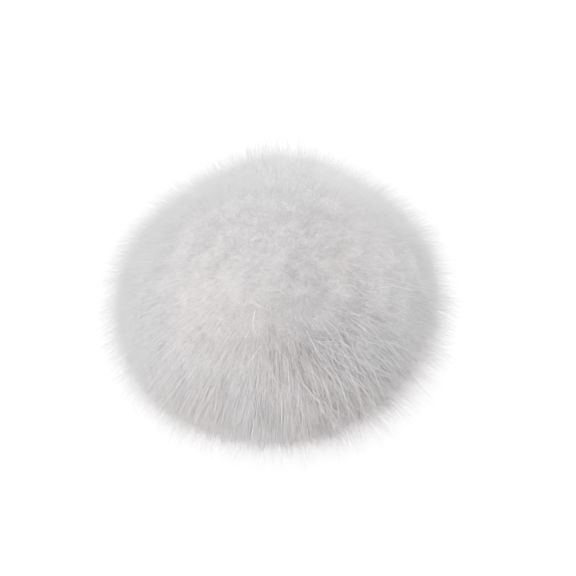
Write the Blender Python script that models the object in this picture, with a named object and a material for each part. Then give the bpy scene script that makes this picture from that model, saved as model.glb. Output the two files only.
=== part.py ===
"""Faux-fur pom pom: a soft ball of long pile, resting on the flat spot where the fur is gathered.

Metres, +Z up. The origin is the centre of that flat spot, on the surface the pom pom rests on.
The pile is a dense ball whose faces are each drawn out into a tapering lock. A place in the pile
is a direction from the ball's centre and a rise: 0 at the foot of a lock and 1 at its tip.
"""

import math
import random
from collections import namedtuple

import bmesh
import bpy
from mathutils import Vector

# The resting pom pom, measured to the tips of its pile
FLUFF_WIDTH = 0.101
FLUFF_DEPTH = 0.101
CROWN_HEIGHT = 0.0415
REST_HEIGHT = 0.032
CENTRE = Vector((0.0, 0.0, REST_HEIGHT))

# The locks underneath end level, this far above the floor, so the flat spot alone carries the ball
LOCK_CLEARANCE = 0.0003

# The dense middle of the pile, as a share of the way out to the tips
DENSE_SHARE = 0.66

# Where the fluff stands out (+) or is pressed in (-), seen from the ball's centre.
# Azimuth runs from +X towards +Y.
Swell = namedtuple("Swell", "azimuth_deg elevation_deg height spread_deg")
SWELLS = (
    Swell(130, 30, -0.0058, 36),
    Swell(46, 30, -0.0047, 34),
    Swell(214, -20, 0.0029, 32),
)

# The locks
SPIRAL_FEET = 262
FOOT_JITTER = 0.17
PAD_SIDES = 12
PAD_HALF_ANGLE = math.radians(17)
PAD_FOOT_SHARE = 0.94
LENGTH_SPREAD = 0.045
TIP_WANDER = 0.85
SEED = 11

# One row for each section of a lock: its rise, and its width as a share of the lock's foot
Section = namedtuple("Section", "rise width")
SECTIONS = (
    Section(0.00, 0.90),
    Section(0.48, 0.86),
    Section(0.82, 0.56),
    Section(1.00, 0.12),
)

# The pile hangs: tips sink towards the floor, and those that reach it are pushed outwards
DROOP = math.radians(7.0)
DROOP_BEND = 1.6
TURN_POLAR = math.radians(124)
SPLAY = math.radians(5.0)

FUR_COLOUR = (0.86, 0.855, 0.85, 1.0)
FUR_ROUGHNESS = 0.75


def from_angles(azimuth, elevation):
    """Unit vector at an azimuth from +X and an elevation above the level."""
    level = math.cos(elevation)
    return Vector((level * math.cos(azimuth), level * math.sin(azimuth), math.sin(elevation)))


def loose_reach(direction):
    """How far the tips stand from the centre where nothing presses on them."""
    across = direction.x / (FLUFF_WIDTH / 2)
    along = direction.y / (FLUFF_DEPTH / 2)
    up = direction.z / CROWN_HEIGHT
    reach = 1 / math.sqrt(across**2 + along**2 + up**2)
    for swell in SWELLS:
        middle = from_angles(math.radians(swell.azimuth_deg), math.radians(swell.elevation_deg))
        away = direction.angle(middle) / math.radians(swell.spread_deg)
        reach += swell.height * math.exp(-away * away)
    return reach


def floor_reach(direction):
    """How far it is from the centre to the level where the locks underneath end."""
    drop = REST_HEIGHT - LOCK_CLEARANCE
    return -drop / direction.z if direction.z < -1e-6 else math.inf


def tip_reach(direction, length):
    """How far the tips stand from the centre: the floor ends those that reach it, level."""
    return min(loose_reach(direction) * length, floor_reach(direction))


def in_pile(direction, rise, length=1.0):
    """The point of the pile at that direction and rise."""
    foot = DENSE_SHARE * tip_reach(direction, 1.0)
    tip = tip_reach(direction, length)
    return CENTRE + direction * (foot + (tip - foot) * rise)


def hanging(direction, rise):
    """The direction after the pile has sunk, at that rise."""
    polar = math.acos(max(-1.0, min(1.0, direction.z)))
    if polar < TURN_POLAR:
        sink = DROOP * math.sin(math.pi * polar / TURN_POLAR)
    else:
        sink = -SPLAY * math.sin(math.pi * (polar - TURN_POLAR) / (math.pi - TURN_POLAR))
    azimuth = math.atan2(direction.y, direction.x)
    return from_angles(azimuth, math.pi / 2 - polar - sink * rise**DROOP_BEND)


def lock_feet(draw):
    """Unit vectors spread evenly from the crown down to the rim of the flat spot."""
    golden_angle = math.pi * (3 - math.sqrt(5))
    spacing = math.sqrt(4 * math.pi / SPIRAL_FEET)
    lowest = -math.cos(PAD_HALF_ANGLE + spacing / 2)
    feet = []
    for i in range(SPIRAL_FEET):
        height = 1 - (1 - lowest) * (i + 0.5) / SPIRAL_FEET
        foot = from_angles(i * golden_angle, math.asin(height))
        nudge = Vector([draw.uniform(-1, 1) for _ in range(3)])
        feet.append((foot + nudge * spacing * FOOT_JITTER).normalized())
    return feet


def pad_rim():
    """Unit vectors round the flat spot."""
    down = PAD_HALF_ANGLE - math.pi / 2
    return [from_angles(2 * math.pi * i / PAD_SIDES, down) for i in range(PAD_SIDES)]


def draw_out(mesh, face, length, sections, wander):
    """Extrudes one face of the ball through its sections and returns the end face."""
    corners = [vert.co.copy() for vert in face.verts]
    middle = sum(corners, Vector()).normalized()
    for section in sections:
        face = bmesh.ops.extrude_discrete_faces(mesh, faces=[face])["faces"][0]
        for vert, corner in zip(face.verts, corners):
            aim = middle + (corner - middle) * section.width + wander * (1 - section.width)
            aim = hanging(aim.normalized(), section.rise)
            vert.co = in_pile(aim, section.rise, length)
    return face


def inner_radius(face):
    """The distance from a face's middle to its nearest side, on the unit ball."""
    middle = sum((vert.co for vert in face.verts), Vector()) / len(face.verts)
    nearest = math.inf
    for edge in face.edges:
        start, end = (vert.co for vert in edge.verts)
        along = (end - start).normalized()
        nearest = min(nearest, ((middle - start) - along * (middle - start).dot(along)).length)
    return nearest


def build_pile():
    """The ball of feet, then every lock and the flat spot drawn out of it."""
    draw = random.Random(SEED)
    mesh = bmesh.new()
    rim = [mesh.verts.new(foot) for foot in pad_rim()]
    for foot in lock_feet(draw):
        mesh.verts.new(foot)
    bmesh.ops.convex_hull(mesh, input=mesh.verts)
    flat = [face for face in mesh.faces if all(vert in rim for vert in face.verts)]
    pad = bmesh.ops.dissolve_faces(mesh, faces=flat)["region"][0]
    bmesh.ops.join_triangles(
        mesh,
        faces=[face for face in mesh.faces if face is not pad],
        angle_face_threshold=math.pi,
        angle_shape_threshold=math.pi,
    )
    feet = list(mesh.verts)
    locks = [face for face in mesh.faces if face is not pad]
    for face in locks:
        toss = Vector([draw.gauss(0, 1) for _ in range(3)])
        wander = toss.normalized() * inner_radius(face) * TIP_WANDER * draw.random()
        draw_out(mesh, face, 1 + draw.uniform(-1, 1) * LENGTH_SPREAD, SECTIONS, wander)
    pad = draw_out(mesh, pad, 1.0, (Section(1.0, PAD_FOOT_SHARE),), Vector())
    for vert in pad.verts:
        vert.co.z = 0.0
    for foot in feet:
        foot.co = in_pile(foot.co.normalized(), 0.0)
    bmesh.ops.recalc_face_normals(mesh, faces=mesh.faces)
    return mesh


def fur_material():
    """Plain white fur."""
    material = bpy.data.materials.new("white_fur")
    material.use_nodes = True
    surface = material.node_tree.nodes["Principled BSDF"]
    surface.inputs["Base Color"].default_value = FUR_COLOUR
    surface.inputs["Roughness"].default_value = FUR_ROUGHNESS
    surface.inputs["Metallic"].default_value = 0.0
    surface.inputs["Sheen Weight"].default_value = 0.3
    return material


def main():
    for old in list(bpy.data.objects):
        bpy.data.objects.remove(old)
    collection = bpy.data.collections.new("pom_pom")
    bpy.context.scene.collection.children.link(collection)
    data = bpy.data.meshes.new("fur_pile")
    mesh = build_pile()
    mesh.to_mesh(data)
    mesh.free()
    data.materials.append(fur_material())
    collection.objects.link(bpy.data.objects.new("fur_pile", data))


main()
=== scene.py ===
"""White fur pom pom: its underfur, its long pile in four gores, its combed locks, its guard hairs.

Metres, +Z up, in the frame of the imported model. Each hair is worked out in the ball's own terms: a
direction from the ball's centre, and a rise from 0 at the foot of the pile to 1 at its tips. A
hair's length is a share of how far the tips stand from the centre.
"""

import math
from collections import namedtuple

import bmesh
import bpy
import numpy as np
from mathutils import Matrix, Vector
from mathutils.kdtree import KDTree


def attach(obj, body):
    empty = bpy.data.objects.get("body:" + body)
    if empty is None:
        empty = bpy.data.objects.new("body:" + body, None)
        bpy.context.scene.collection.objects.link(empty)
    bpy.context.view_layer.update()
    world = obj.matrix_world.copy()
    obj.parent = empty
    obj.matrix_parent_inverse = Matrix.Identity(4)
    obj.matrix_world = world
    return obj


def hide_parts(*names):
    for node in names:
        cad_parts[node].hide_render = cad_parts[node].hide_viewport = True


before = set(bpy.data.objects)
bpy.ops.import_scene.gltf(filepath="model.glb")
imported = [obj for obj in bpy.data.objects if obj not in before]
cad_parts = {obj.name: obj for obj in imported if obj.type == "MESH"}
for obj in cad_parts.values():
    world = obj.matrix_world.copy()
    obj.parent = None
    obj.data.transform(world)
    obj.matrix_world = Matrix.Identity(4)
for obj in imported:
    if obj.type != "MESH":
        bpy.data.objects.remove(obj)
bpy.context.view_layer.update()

MM = 0.001
SEED = 11

# The resting pom pom, measured to the tips of its pile, as its solid has it
FLUFF_WIDTH = 0.101
FLUFF_DEPTH = 0.101
CROWN_HEIGHT = 0.0415
REST_HEIGHT = 0.032
CENTRE = np.array((0.0, 0.0, REST_HEIGHT))
DENSE_SHARE = 0.66
DROOP = math.radians(7.0)
DROOP_BEND = 1.6
TURN_POLAR = math.radians(124)
SPLAY = math.radians(5.0)

# Where the fluff stands out (+) or is pressed in (-), seen from the ball's centre
Swell = namedtuple("Swell", "azimuth_deg elevation_deg height spread_deg")
SWELLS = (
    Swell(130, 30, -0.0058, 36),
    Swell(46, 30, -0.0047, 34),
    Swell(214, -20, 0.0029, 32),
)

# Low lumps all over the pile, each the sum of a few waves
WAVES = 6
LUMP_HEIGHT = 0.005
LUMP_STEP = 0.035

# A side of the ball is a direction. What happens there starts and grows as a hair turns towards it.
Ramp = namedtuple("Ramp", "start slope")

# Where the pile is most combed into locks, and painted darker there as shade: the front, low on the
# right
COMBED_SIDE = (0.18, -0.96, -0.20)
COMBED_RAMP = Ramp(-1.1, 2.3)

# Where the pile parts: from there it is combed flatter and flatter, down the side that faces front
PARTING = (0.06, -0.52, 0.86)
PARTING_BLUR = 0.6
COMBED_FLAT = math.radians(6)
COMBED_FLATTER = math.radians(17)
FLATTER_RAMP = Ramp(0.1, 0.9)

# Soft streaks down the front, in sets that each have their own number round the parting. Where a
# streak dips, its hairs are shorter and painted darker, as shade in the hollow.
STREAK_SETS = 9
STREAKS_FEWEST = 45
STREAKS_MOST = 125
STREAK_BEND = 1.5
STREAK_BENDS = 3
STREAK_BREAKS = 9
STREAK_DEPTH = 0.5
STREAK_RAMP = Ramp(0.15, 1.1)
STREAK_LENGTH = 0.008
# Painted shade: how much darker the hairs are in a streak's hollow
STREAK_PAINTED_SHADE = 0.20

# Low on the right the pile is loose: its body is shorter there, and its fine ends stand further out
LOOSE_SIDE = (0.70, -0.53, -0.47)
LOOSE_SPREAD = 0.22
LOOSE_DROP = 0.07
LOOSE_FREEDOM = 0.7

# The white is warmest at the front, and a little warmer on the right
WARMTH = 0.3
WARMER_FRONT = 0.8
WARMER_RIGHT = 0.15

# The short dense underfur, which is lower where the pile is combed and level where it rests
UNDERFUR_CUTS = 6
UNDERFUR_RISE = 0.57
UNDERFUR_COMBED_DROP = 0.10
UNDERFUR_TONES = (0.75, 1)
FLAT_SPOT_REACH = 1.02

# Hairs gather into wisps, and wisps into tufts. In a pair, the second is what combing adds.
GOLDEN_ANGLE = math.pi * (3 - math.sqrt(5))
TUFTS = 1250
WISPS = 5200
WISP_JITTER = 0.45
TUFT_LEAN = math.radians(2.4)
WISP_LEAN = math.radians(1.2)
TUFT_LENGTHS = 0.014
WISP_LENGTHS = 0.012
PULLED_TO_TUFT = (0.10, 0.15)
TUFT_LEAN_KEPT = (0.2, 0.3)
TUFT_LENGTH_KEPT = (0.4, 0.6)

# The hairs of the long pile
HAIRS = 205000
HAIR_JITTER = 0.55
FLOOR_THINNING = 0.55
FOOT_RISE = 0.42
HAIR_LENGTH = (0.89, -0.02)
HAIR_LENGTHS = 0.019
HAIR_WIDTH = 0.28 * MM
HAIR_WIDTHS = (0.8, 1.2)
HAIR_TONES = (0.8, 1)
HAIR_STRAY = math.radians(1.6)
HAIR_BEND = 1.4
# Painted shade: how much darker the pile's tone is made on the combed front, low on the right
COMBED_PAINTED_SHADE = 0.10
GATHERED = (0.06, 0.06)
GATHER_DRIFT = 0.06
GATHER_STEP = 0.5
SWEEP = math.radians(1.8)
SWEEP_STEP = 0.45
LONGEST = 1.24

# The very fine ends that stand past the others, in uneven tufts, and less so underneath
FLYAWAY_SHARE = 0.58
FLYAWAY_LENGTH = 0.25
FLYAWAY_WIDTH = 0.15
FLYAWAY_STRAY = math.radians(5)
FLYAWAY_TONE_DROP = 0.25
HELD_DOWN = 1.4
LEAST_FREEDOM = 0.2
FRINGE_MIDDLE = 0.95
FRINGE_DRIFT = 0.5
FRINGE_STEP = 0.03
FRINGE_RANGE = (0.3, 1.3)

# The locks that stand out of the combed side, swept to the right
LOCKS = 1000
LOCK_HAIRS = 12
LOCK_SPREAD = math.radians(1.3)
LOCK_TIP_SPREAD = LOCK_SPREAD * 0.4
LOCK_OFF_FLOOR = 1.15
LOCK_FLATNESS = 1.2
LOCK_SWEEP = (0.10, 0.0, 0.0)
LOCK_STRAY = math.radians(4.5)
LOCK_CURL = math.radians(1.5)
LOCK_HAIR_CURL = math.radians(0.5)
LOCK_REACHES = (0.86, 0.94)
LOCK_HAIR_LENGTHS = 0.025
LOCK_WIDTHS = (0.4, 0.75)
LOCK_TONES = (0.15, 0.55)

# The stray curled hairs that lie over them, swept to the right too
GUARD_HAIRS = 260
GUARD_SIDE = (0.30, -0.84, 0.45)
GUARD_SPREAD = math.radians(13.2)
GUARD_FLATNESS = 0.3
GUARD_SWEEP = (0.24, 0.0, -0.03)
GUARD_STRAY = math.radians(9)
GUARD_CURL = math.radians(4)
GUARD_LENGTH = 0.94
GUARD_LENGTHS = 0.02
GUARD_WIDTH = 0.26 * MM
GUARD_TONES = (0.75, 1)

# One strand: where a curled one bends, how it tapers, and how it shades and lies in its bake map
CURL_SECTIONS = (0.4, 0.75)
CURLED_TAPER = 0.45
ROUNDNESS = 7.0
LOWEST = 0.02 * MM
CELL_MARGIN = 0.1
END_WIDTH = 0.3
END_DEPTH = 0.01
TINY = 1e-4

# Finishes
# Painted light and shade: the pile's foot is a brighter white, standing in for light deep in the pile,
# and its tips a duller white, so the depth's shade is evened out
PILE_FOOT_PAINTED_LIGHT = (0.987, 0.985, 0.986, 1)
PILE_TIP_PAINTED_SHADE = (0.87, 0.868, 0.869, 1)
# Painted shade: the underfur is a darker white than the pile, standing in for the shade deep in the
# fur where it shows between the hairs
UNDERFUR_SHADE_WHITE = (0.69, 0.685, 0.687, 1)
# Partly painted highlight: the guard hairs are real, but their tips are a brighter white than the
# pile's, standing in for the light they catch
GUARD_FOOT = (0.9, 0.9, 0.9, 1)
GUARD_TIP_PAINTED_HIGHLIGHT = (0.97, 0.97, 0.97, 1)
WARM_TINT = (1.0, 0.955, 0.96, 1.0)
DRIFT_SCALE = 34
DRIFT_DETAIL = 2
DRIFT_RANGE = (0.32, 0.60)
DARKEST_TONE = 0.62
GLOSS_SPREAD = 0.1
SHEEN_ROUGHNESS = 0.45
SPECULAR = 0.4
CLUMP_SCALE = 900
CLUMP_DETAIL = 4
CLUMP_STRENGTH = 0.6
CLUMP_HEIGHT = 0.6 * MM

# The floor, the camera and the light
FLOOR_SIZE = 3.0
FLOOR_COLOUR = (0.12, 0.12, 0.12, 1)
FLOOR_ROUGHNESS = 0.8
FLOOR_GLOW = 0.9
CAMERA_ELEVATION = math.radians(48)
CAMERA_DISTANCE = 0.62
CAMERA_LENS = 137.5
AIM = Vector((0.0026, 0.0, 0.0341))
BRIGHT_SIDE = (-0.42, 0.90, -0.05)
SKY_DARKEST = 0.77
SKY_BRIGHTEST = 1.47
LIGHT_BOUNCES = 16
SOFT_BOUNCES = 12
Lamp = namedtuple("Lamp", "name place size power")
LAMPS = (
    Lamp("top_lamp", (-0.10, -0.45, 0.95), 1.4, 1.4),
    Lamp("left_lamp", (-0.85, -0.55, 0.35), 1.0, 3.5),
    Lamp("right_lamp", (1.0, 0.25, 0.45), 1.0, 3.2),
)

# The long pile in quarters, from the one that faces +X round towards +Y
GORES = ("pile_right", "pile_back", "pile_left", "pile_front")


# ---------------------------------------------------------------- places in the pile


def unit(vectors):
    """The same directions at length 1."""
    return vectors / np.linalg.norm(vectors, axis=-1, keepdims=True)


def from_angles(azimuth, elevation):
    """Unit vectors at azimuths from +X and elevations above the level."""
    level = np.cos(elevation)
    return np.stack((level * np.cos(azimuth), level * np.sin(azimuth), np.sin(elevation)), axis=-1)


def loose_reach(direction):
    """How far the tips stand from the centre where nothing presses on them."""
    half = np.array((FLUFF_WIDTH / 2, FLUFF_DEPTH / 2, CROWN_HEIGHT))
    reach = 1 / np.linalg.norm(direction / half, axis=-1)
    for swell in SWELLS:
        middle = from_angles(math.radians(swell.azimuth_deg), math.radians(swell.elevation_deg))
        away = np.arccos(np.clip(direction @ middle, -1, 1)) / math.radians(swell.spread_deg)
        reach = reach + swell.height * np.exp(-away * away)
    return reach


def floor_reach(direction):
    """How far it is from the centre to the surface underneath."""
    down = np.maximum(-direction[..., 2], 1e-6)
    return REST_HEIGHT / down


def tip_reach(direction, length):
    """How far the tips stand from the centre: the floor ends those that reach it, level."""
    return np.minimum(loose_reach(direction) * length, floor_reach(direction))


def in_pile(direction, rise, length):
    """The points of the pile at those directions and rises."""
    foot = DENSE_SHARE * tip_reach(direction, 1.0)
    tip = tip_reach(direction, length)
    return CENTRE + direction * (foot + (tip - foot) * rise)[..., None]


def hanging(direction, rise):
    """The directions after the pile has sunk, at that rise."""
    polar = np.arccos(np.clip(direction[..., 2], -1, 1))
    above = np.sin(math.pi * np.minimum(polar, TURN_POLAR) / TURN_POLAR)
    past = np.maximum(polar - TURN_POLAR, 0)
    below = np.sin(math.pi * past / (math.pi - TURN_POLAR))
    sink = np.where(polar < TURN_POLAR, DROOP * above, -SPLAY * below)
    azimuth = np.arctan2(direction[..., 1], direction[..., 0])
    return from_angles(azimuth, math.pi / 2 - polar - sink * rise**DROOP_BEND)


def spread_evenly(count, jitter, draw):
    """Unit vectors at even distances over the whole ball, each nudged a little."""
    turn = np.arange(count)
    height = 1 - 2 * (turn + 0.5) / count
    even = from_angles(turn * GOLDEN_ANGLE, np.arcsin(height))
    spacing = math.sqrt(4 * math.pi / count)
    return unit(even + draw.uniform(-1, 1, (count, 3)) * spacing * jitter)


def nearest(points, centres):
    """For each point, the number of the centre that is nearest to it."""
    tree = KDTree(len(centres))
    for number, centre in enumerate(centres):
        tree.insert(centre, number)
    tree.balance()
    return np.array([tree.find(point)[1] for point in points])


def square_to(direction, step):
    """The part of each step that is square to its direction."""
    return step - direction * (step * direction).sum(-1, keepdims=True)


def sideways(direction, size, draw):
    """Random steps of about that size, square to each direction."""
    return square_to(direction, draw.normal(0, 1, direction.shape)) * size


# ---------------------------------------------------------------- one strand, repeated


Strand = namedtuple("Strand", "angle girth rise faces corners")


def strand_shape(sections=()):
    """One strand: a slim three-sided cone from its foot at 0 to its point at 1, cut at sections."""
    cone = bmesh.new()
    bmesh.ops.create_cone(cone, cap_ends=True, segments=3, radius1=1, radius2=0, depth=1)
    bmesh.ops.translate(cone, verts=cone.verts, vec=(0, 0, 0.5))
    bmesh.ops.remove_doubles(cone, verts=cone.verts, dist=TINY)
    for rise in sections:
        parts = cone.verts[:] + cone.edges[:] + cone.faces[:]
        bmesh.ops.bisect_plane(cone, geom=parts, plane_co=(0, 0, rise), plane_no=(0, 0, 1))
    bmesh.ops.triangulate(cone, faces=cone.faces)
    bmesh.ops.recalc_face_normals(cone, faces=cone.faces)
    cone.verts.index_update()
    place = np.array([vert.co for vert in cone.verts])
    faces = np.array([[vert.index for vert in face.verts] for face in cone.faces])
    corners = np.array([unrolled(face, vert) for face in cone.faces for vert in face.verts])
    cone.free()
    rise = place[:, 2].round(4)
    girth = (1 - rise) ** (CURLED_TAPER if sections else 1.0)
    return Strand(np.arctan2(place[:, 1], place[:, 0]), girth, rise, faces, corners)


def unrolled(face, vert):
    """Where a corner lies when the strand's sides are rolled out flat, each way from 0 to 1."""
    if face.normal.z < -0.99:
        return (0.5 + vert.co.x * END_WIDTH, vert.co.y * END_DEPTH)
    middle = face.calc_center_median()
    about = math.atan2(middle.y, middle.x)
    turn = math.atan2(vert.co.y, vert.co.x) - about
    turn = math.remainder(turn, 2 * math.pi) if vert.co.xy.length > TINY else 0.0
    return ((about + math.pi + turn) / (2 * math.pi), vert.co.z)


def strands(name, shape, spine, width, tone, material):
    """Joins one strand for each spine into a piece. A spine holds a point for each of its rises."""
    rises = np.unique(shape.rise)
    along = unit(spine[:, -1] - spine[:, 0])
    helper = np.where(np.abs(along[:, 2:]) < 0.9, (0.0, 0.0, 1.0), (1.0, 0.0, 0.0))
    across = unit(np.cross(along, helper))
    over = np.cross(along, across)
    ring = np.searchsorted(rises, shape.rise)
    half = width[:, None] * shape.girth / 2
    out_x = (half * np.cos(shape.angle))[..., None] * across[:, None]
    out_y = (half * np.sin(shape.angle))[..., None] * over[:, None]
    place = spine[:, ring] + out_x + out_y
    place[..., 2] = np.maximum(place[..., 2], LOWEST)

    count, size = place.shape[:2]
    faces = shape.faces[None] + np.arange(count)[:, None, None] * size
    mesh = bpy.data.meshes.new(name)
    mesh.from_pydata(place.reshape(-1, 3), [], faces.reshape(-1, 3))
    mesh.shade_smooth()
    mesh.normals_split_custom_set_from_vertices(soft_normals(place, spine[:, ring]))
    attribute(mesh, "rise", np.tile(shape.rise, count))
    attribute(mesh, "tone", np.repeat(tone, size))
    attribute(mesh, "warmth", np.repeat(warmth(unit(spine[:, 0] - CENTRE)), size))
    unwrap(mesh, shape, count)
    mesh.materials.append(material)
    add_piece(name, mesh)


def soft_normals(place, middle):
    """Normals that lean out of the ball, so that fine hairs shade together as a soft pile does."""
    aside = place - middle
    aside = aside / np.maximum(np.linalg.norm(aside, axis=-1, keepdims=True), 1e-9)
    return unit(aside + ROUNDNESS * unit(middle - CENTRE)).reshape(-1, 3)


def unwrap(mesh, shape, count):
    """Gives each strand a cell of its own in the piece's bake map."""
    columns = math.ceil(math.sqrt(count))
    cell = np.stack((np.arange(count) % columns, np.arange(count) // columns), axis=-1)
    inside = 1 - 2 * CELL_MARGIN
    corners = (cell[:, None] + CELL_MARGIN + inside * shape.corners[None]) / columns
    layer = mesh.uv_layers.new(name="OFBake")
    layer.uv.foreach_set("vector", corners.astype(np.float32).ravel())


def attribute(mesh, name, values):
    """Gives each vertex a number that the material reads."""
    layer = mesh.attributes.new(name, "FLOAT", "POINT")
    layer.data.foreach_set("value", values.astype(np.float32))


def add_piece(name, mesh):
    """Puts a finished mesh in the scene as a piece of the pom pom."""
    piece = bpy.data.objects.new(name, mesh)
    bpy.context.scene.collection.objects.link(piece)
    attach(piece, "root")
    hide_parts("fur_pile")
    return piece


# ---------------------------------------------------------------- how the pile is groomed


def waves(direction, step, draw):
    """A smooth random number from about -1 to 1 over the ball, in swells that step long."""
    total = np.zeros(direction.shape[:-1])
    for _ in range(WAVES):
        heading = unit(draw.normal(0, 1, 3))
        total += np.sin(direction @ heading / step + draw.uniform(0, 2 * math.pi))
    return total / math.sqrt(WAVES)


def turned_to(direction, side, ramp):
    """From 0 to 1 as a direction turns towards a side of the ball."""
    return np.clip(ramp.start + ramp.slope * (direction @ unit(np.array(side))), 0, 1)


def combed(direction):
    """How much the pile is combed into locks there, from 0, where it is plain fluff, to 1."""
    return turned_to(direction, COMBED_SIDE, COMBED_RAMP)


def with_combing(pair, strength):
    """A value of plain fluff, with what combing adds to it there."""
    plain, added = pair
    return plain + added * strength


def flattened(direction):
    """How far each hair is combed away from the parting, as a lean."""
    parting = unit(np.array(PARTING))
    facing = (direction @ parting)[..., None]
    away = direction * facing - parting
    near = np.clip(np.linalg.norm(away, axis=-1, keepdims=True) / PARTING_BLUR, 0, 1)
    front = turned_to(direction, COMBED_SIDE, FLATTER_RAMP)[..., None]
    size = COMBED_FLAT + COMBED_FLATTER * front
    return away * near * 2 * np.clip(facing, 0, 1) * size


def looseness(direction):
    """How loose the pile is there, from 0 to 1."""
    side = direction @ unit(np.array(LOOSE_SIDE))
    return np.clip(1 - (1 - side) / LOOSE_SPREAD, 0, 1)


def lumps(direction):
    """How much further than even the pile stands out there, as a share of its reach."""
    return LUMP_HEIGHT * waves(direction, LUMP_STEP, np.random.default_rng(SEED))


def streaks(direction):
    """Soft streaks that run away from the parting, from about -1 to 1, down the combed front."""
    parting = unit(np.array(PARTING))
    right = unit(np.cross((0.0, 1.0, 0.0), parting))
    turn = np.arctan2(direction @ np.cross(parting, right), direction @ right)
    fall = np.arccos(np.clip(direction @ parting, -1, 1))
    draw = np.random.default_rng(SEED)
    total = np.zeros(len(direction))
    for count in draw.integers(STREAKS_FEWEST, STREAKS_MOST, STREAK_SETS):
        phase = draw.uniform(0, 2 * math.pi, 3)
        bend = STREAK_BEND * np.sin(STREAK_BENDS * fall + phase[0])
        breaks = np.sin(STREAK_BREAKS * fall + phase[2])
        total += np.sin(count * turn + bend + phase[1]) * breaks
    return turned_to(direction, COMBED_SIDE, STREAK_RAMP) * total * STREAK_DEPTH


def warmth(direction):
    """How warm the white of the pile is there, from 0 to 1."""
    return np.clip(WARMTH - WARMER_FRONT * direction[..., 1] + WARMER_RIGHT * direction[..., 0], 0, 1)


def grooming(draw):
    """The wisps that every hair follows, and the tufts they follow: places, leans and lengths."""
    tufts = spread_evenly(TUFTS, WISP_JITTER, draw)
    wisps = spread_evenly(WISPS, WISP_JITTER, draw)
    owner = nearest(wisps, tufts)
    strength = combed(wisps)
    tuft_lean = sideways(tufts, TUFT_LEAN, draw)
    wisp_lean = sideways(wisps, WISP_LEAN, draw)
    pulled = (tufts[owner] - wisps) * with_combing(PULLED_TO_TUFT, strength)[:, None]
    tuft_length = draw.normal(0, TUFT_LENGTHS, TUFTS)
    wisp_length = draw.normal(0, WISP_LENGTHS, WISPS)
    lean = pulled + (tuft_lean[owner] + wisp_lean) * with_combing(TUFT_LEAN_KEPT, strength)[:, None]
    length = (tuft_length[owner] + wisp_length) * with_combing(TUFT_LENGTH_KEPT, strength)
    return wisps, lean, length


def pile(draw):
    """Every hair of the long pile: its foot's direction, its spine, its width and its tone."""
    wisps, wisp_lean, wisp_length = grooming(draw)
    feet = spread_evenly(HAIRS, HAIR_JITTER, draw)
    pressed = floor_reach(feet) < loose_reach(feet)
    feet = feet[~(pressed & (draw.random(len(feet)) < FLOOR_THINNING))]
    count = len(feet)
    owner = nearest(feet, wisps)
    strength = combed(feet)
    gather = with_combing(GATHERED, strength) + GATHER_DRIFT * waves(feet, GATHER_STEP, draw)
    flyaway = draw.random(count) < FLYAWAY_SHARE

    lean = (wisps[owner] - feet) * gather[:, None] + wisp_lean[owner]
    lean += sideways(feet, HAIR_STRAY, draw)
    lean[flyaway] = sideways(feet[flyaway], FLYAWAY_STRAY, draw)
    sweep = np.stack([waves(feet, SWEEP_STEP, draw) for _ in range(3)], axis=-1) * SWEEP
    lean += square_to(feet, sweep) + flattened(feet)

    streak = streaks(feet)
    loose = looseness(feet)
    length = with_combing(HAIR_LENGTH, strength) + draw.normal(0, HAIR_LENGTHS, count)
    length += wisp_length[owner] * ~flyaway + lumps(feet)
    length += STREAK_LENGTH * streak - LOOSE_DROP * loose
    free = np.clip(1 + feet[:, 2] / HELD_DOWN, LEAST_FREEDOM, 1) + LOOSE_FREEDOM * loose
    tufty = np.clip(FRINGE_MIDDLE + FRINGE_DRIFT * waves(feet, FRINGE_STEP, draw), *FRINGE_RANGE)
    length += flyaway * free * tufty * draw.triangular(0, 0, FLYAWAY_LENGTH, count)
    length = np.minimum(length, LONGEST)

    width = HAIR_WIDTH * draw.uniform(*HAIR_WIDTHS, count)
    width[flyaway] *= FLYAWAY_WIDTH
    # Painted shade: the tone is lowered on the combed front and in the hollows of the streaks
    tone = draw.uniform(*HAIR_TONES, count) - COMBED_PAINTED_SHADE * strength + STREAK_PAINTED_SHADE * streak
    tone[flyaway] -= FLYAWAY_TONE_DROP
    return feet, spines(feet, lean, length), width, tone


def spines(feet, lean, length, curl=0.0, sections=()):
    """The points that each hair passes through, one for each of the strand's rises."""
    rows = []
    for along in (0.0, *sections, 1.0):
        rise = FOOT_RISE + (1 - FOOT_RISE) * along
        aim = unit(feet + lean * rise**HAIR_BEND + curl * math.sin(math.pi * along))
        rows.append(in_pile(hanging(aim, rise), rise, length))
    return np.stack(rows, axis=1)


def combed_locks(draw):
    """Pointed locks that stand out of the combed side: the spines of their hairs."""
    middle = spread_evenly(LOCKS, HAIR_JITTER, draw)
    shown = combed(middle) * (floor_reach(middle) > LOCK_OFF_FLOOR * loose_reach(middle))
    middle = middle[draw.random(len(middle)) < shown]
    tip = middle + flattened(middle) * LOCK_FLATNESS + np.array(LOCK_SWEEP)
    tip += sideways(middle, LOCK_STRAY, draw)
    curl = sideways(middle, LOCK_CURL, draw)
    reach = draw.uniform(*LOCK_REACHES, len(middle)) - LOOSE_DROP * looseness(middle)
    each = np.repeat(np.arange(len(middle)), LOCK_HAIRS)
    feet = unit(middle[each] + sideways(middle[each], LOCK_SPREAD, draw))
    lean = tip[each] + sideways(feet, LOCK_TIP_SPREAD, draw) - feet
    curl = curl[each] + sideways(feet, LOCK_HAIR_CURL, draw)
    length = reach[each] + draw.normal(0, LOCK_HAIR_LENGTHS, len(each))
    return spines(feet, lean, length, curl, CURL_SECTIONS)


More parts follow.
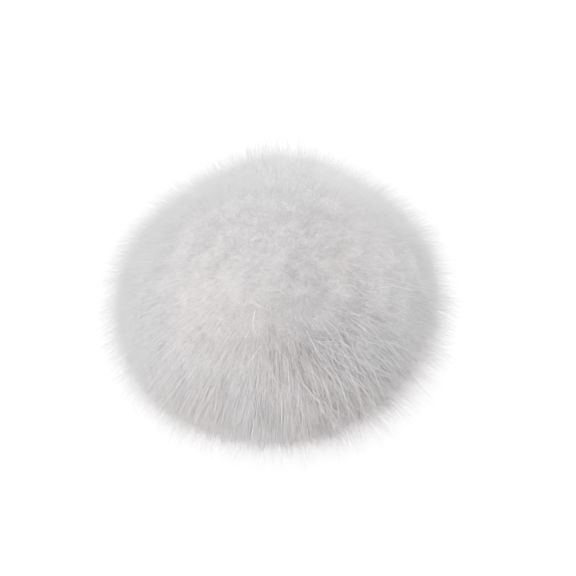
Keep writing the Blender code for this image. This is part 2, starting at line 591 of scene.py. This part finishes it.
def guard_hairs(draw):
    """Stray curled hairs that lie across the pile on the right of the front: their spines."""
    side = np.tile(unit(np.array(GUARD_SIDE)), (GUARD_HAIRS, 1))
    feet = unit(side + sideways(side, GUARD_SPREAD, draw))
    lean = flattened(feet) * GUARD_FLATNESS + np.array(GUARD_SWEEP)
    lean += sideways(feet, GUARD_STRAY, draw)
    curl = sideways(feet, GUARD_CURL, draw)
    length = GUARD_LENGTH + draw.normal(0, GUARD_LENGTHS, len(feet))
    return spines(feet, lean, length, curl, CURL_SECTIONS)


# ---------------------------------------------------------------- finishes


def shade(owner, kind, inputs=None, **properties):
    """Adds a node to a material or a world, and sets or links its inputs. Returns the node."""
    node = owner.node_tree.nodes.new(kind)
    for name, value in properties.items():
        setattr(node, name, value)
    fill_in(owner, node, inputs or {})
    return node


def fill_in(owner, node, inputs):
    """Sets each of a node's inputs to a value, or links it where the value is another's output."""
    for name, value in inputs.items():
        if isinstance(value, bpy.types.NodeSocket):
            owner.node_tree.links.new(value, node.inputs[name])
        else:
            node.inputs[name].default_value = value


def new_finish(name):
    """A new material and its surface shader."""
    material = bpy.data.materials.new(name)
    material.use_nodes = True
    return material, material.node_tree.nodes["Principled BSDF"]


def read_attribute(material, name):
    """A number that the mesh holds at each vertex."""
    return shade(material, "ShaderNodeAttribute", attribute_name=name).outputs["Fac"]


def noise(material, scale, detail):
    """Noise over the piece's own place."""
    place = shade(material, "ShaderNodeTexCoord").outputs["Object"]
    inputs = {"Vector": place, "Scale": scale, "Detail": detail}
    return shade(material, "ShaderNodeTexNoise", inputs).outputs["Fac"]


def mixed(material, blend, factor, colour_a, colour_b):
    """Two colours mixed or multiplied together."""
    inputs = {"Factor": factor, "A": colour_a, "B": colour_b}
    node = shade(material, "ShaderNodeMix", inputs, data_type="RGBA", blend_type=blend)
    return node.outputs["Result"]


def fur_finish(name, foot_colour, tip_colour, roughness, sheen):
    """White fur: its colour goes from foot to tip, with faint warm drifts and a tone for each hair. On
    the pile, both the foot-to-tip change and the tone carry painted light and shade.
    """
    material, surface = new_finish(name)
    tone = read_attribute(material, "tone")
    white = mixed(material, "MIX", read_attribute(material, "rise"), foot_colour, tip_colour)

    drift = {
        "Value": noise(material, DRIFT_SCALE, DRIFT_DETAIL),
        "From Min": DRIFT_RANGE[0],
        "From Max": DRIFT_RANGE[1],
    }
    drifting = shade(material, "ShaderNodeMapRange", drift).outputs["Result"]
    both = {0: drifting, 1: read_attribute(material, "warmth")}
    warm = shade(material, "ShaderNodeMath", both, operation="MULTIPLY").outputs["Value"]
    warm_white = mixed(material, "MULTIPLY", warm, white, WARM_TINT)

    darker = {"Value": tone, "To Min": DARKEST_TONE, "To Max": 1.0}
    toning = shade(material, "ShaderNodeMapRange", darker).outputs["Result"]
    glossier = {"Value": tone, "To Min": roughness + GLOSS_SPREAD, "To Max": roughness - GLOSS_SPREAD}
    fill_in(material, surface, {
        "Base Color": mixed(material, "MULTIPLY", 1.0, warm_white, toning),
        "Roughness": shade(material, "ShaderNodeMapRange", glossier).outputs["Result"],
        "Sheen Weight": sheen,
        "Sheen Roughness": SHEEN_ROUGHNESS,
        "Specular IOR Level": SPECULAR,
    })
    return material


def underfur_finish():
    """The short dense fur under the pile: soft, matt and finely clumped, and painted a darker white as
    the shade deep in the pile.
    """
    material = fur_finish("underfur_painted_shade", UNDERFUR_SHADE_WHITE, UNDERFUR_SHADE_WHITE, roughness=0.85, sheen=0.0)
    clumps = {
        "Height": noise(material, CLUMP_SCALE, CLUMP_DETAIL),
        "Strength": CLUMP_STRENGTH,
        "Distance": CLUMP_HEIGHT,
    }
    bump = shade(material, "ShaderNodeBump", clumps).outputs["Normal"]
    fill_in(material, material.node_tree.nodes["Principled BSDF"], {"Normal": bump})
    return material


def floor_finish():
    """A plain pale surface that glows a little, so it stays almost white all round."""
    material, surface = new_finish("pale_floor")
    fill_in(material, surface, {
        "Base Color": FLOOR_COLOUR,
        "Roughness": FLOOR_ROUGHNESS,
        "Emission Color": (1, 1, 1, 1),
        "Emission Strength": FLOOR_GLOW,
    })
    return material


# ---------------------------------------------------------------- pieces


def build_underfur(draw):
    """The dense underfur: a lumpy ball, level where it rests."""
    ball = bmesh.new()
    bmesh.ops.create_icosphere(ball, subdivisions=UNDERFUR_CUTS, radius=1)
    direction = unit(np.array([vert.co for vert in ball.verts]))
    full = np.ones(len(direction))
    relief = lumps(direction) - LOOSE_DROP * looseness(direction)
    rise = UNDERFUR_RISE - UNDERFUR_COMBED_DROP * combed(direction) + relief / (1 - DENSE_SHARE)
    place = in_pile(hanging(direction, rise), rise, full)
    level = floor_reach(direction) <= FLAT_SPOT_REACH * REST_HEIGHT
    place[level] = in_pile(direction[level], full[level], full[level])
    place[:, 2] = np.maximum(place[:, 2], 0.0)
    for vert, point in zip(ball.verts, place):
        vert.co = point
    mesh = bpy.data.meshes.new("underfur")
    ball.to_mesh(mesh)
    ball.free()
    mesh.shade_smooth()
    attribute(mesh, "rise", rise)
    attribute(mesh, "tone", draw.uniform(*UNDERFUR_TONES, len(rise)))
    attribute(mesh, "warmth", warmth(direction))
    mesh.materials.append(underfur_finish())
    add_piece("underfur", mesh)


def build_pile(draw):
    """The long pile, a gore at a time, and the locks that stand out of it."""
    material = fur_finish("pile_white", PILE_FOOT_PAINTED_LIGHT, PILE_TIP_PAINTED_SHADE, roughness=0.7, sheen=0.05)
    feet, spine, width, tone = pile(draw)
    turn = np.arctan2(feet[:, 1], feet[:, 0]) / (2 * math.pi)
    quarter = np.floor(turn * len(GORES) + 0.5).astype(int) % len(GORES)
    for number, name in enumerate(GORES):
        mine = quarter == number
        strands(name, strand_shape(), spine[mine], width[mine], tone[mine], material)

    spine = combed_locks(draw)
    width = HAIR_WIDTH * draw.uniform(*LOCK_WIDTHS, len(spine))
    tone = draw.uniform(*LOCK_TONES, len(spine))
    strands("combed_locks", strand_shape(CURL_SECTIONS), spine, width, tone, material)


def build_guard_hairs(draw):
    """The stray hairs over the pile, their tips painted a brighter white as a highlight."""
    material = fur_finish("guard_hair_white", GUARD_FOOT, GUARD_TIP_PAINTED_HIGHLIGHT, roughness=0.42, sheen=0.2)
    spine = guard_hairs(draw)
    width = GUARD_WIDTH * draw.uniform(*HAIR_WIDTHS, len(spine))
    tone = draw.uniform(*GUARD_TONES, len(spine))
    strands("guard_hairs", strand_shape(CURL_SECTIONS), spine, width, tone, material)


def build_floor():
    """The pale surface that the pom pom rests on."""
    floor = bmesh.new()
    bmesh.ops.create_grid(floor, x_segments=1, y_segments=1, size=FLOOR_SIZE)
    mesh = bpy.data.meshes.new("floor")
    floor.to_mesh(mesh)
    floor.free()
    mesh.materials.append(floor_finish())
    piece = bpy.data.objects.new("floor", mesh)
    bpy.context.scene.collection.objects.link(piece)


# ---------------------------------------------------------------- camera and light


def build_camera():
    """Looks down at the pom pom from in front."""
    data = bpy.data.cameras.new("camera")
    data.lens = CAMERA_LENS
    camera = bpy.data.objects.new("camera", data)
    back = Vector((0, -math.cos(CAMERA_ELEVATION), math.sin(CAMERA_ELEVATION)))
    camera.location = AIM + back * CAMERA_DISTANCE
    camera.rotation_euler = (-back).to_track_quat("-Z", "Y").to_euler()
    bpy.context.scene.collection.objects.link(camera)
    bpy.context.scene.camera = camera


def build_sky():
    """Soft white surroundings, brightest behind on the left."""
    sky = bpy.data.worlds.new("studio")
    sky.use_nodes = True
    outwards = shade(sky, "ShaderNodeTexCoord").outputs["Generated"]
    sides = {0: outwards, 1: BRIGHT_SIDE}
    towards = shade(sky, "ShaderNodeVectorMath", sides, operation="DOT_PRODUCT").outputs["Value"]
    brighter = {"Value": towards, "From Min": -1.0, "To Min": SKY_DARKEST, "To Max": SKY_BRIGHTEST}
    strength = shade(sky, "ShaderNodeMapRange", brighter).outputs["Result"]
    background = sky.node_tree.nodes["Background"]
    fill_in(sky, background, {"Color": (1, 1, 1, 1), "Strength": strength})
    bpy.context.scene.world = sky


def build_lamp(name, place, size, power):
    """A large soft lamp that faces the pom pom."""
    data = bpy.data.lights.new(name, "AREA")
    data.size = size
    data.energy = power
    lamp = bpy.data.objects.new(name, data)
    lamp.location = place
    lamp.rotation_euler = (Vector(place) - AIM).to_track_quat("Z", "Y").to_euler()
    bpy.context.scene.collection.objects.link(lamp)


def build_light():
    """The sky and three large soft lamps, seen as they are, with light enough inside white fur."""
    build_sky()
    for lamp in LAMPS:
        build_lamp(*lamp)
    bpy.context.scene.view_settings.view_transform = "Standard"
    bpy.context.scene.cycles.max_bounces = LIGHT_BOUNCES
    bpy.context.scene.cycles.diffuse_bounces = SOFT_BOUNCES


def main():
    build_camera()
    draw = np.random.default_rng(SEED)
    build_underfur(draw)
    build_pile(draw)
    build_guard_hairs(draw)
    build_floor()
    build_light()


main()
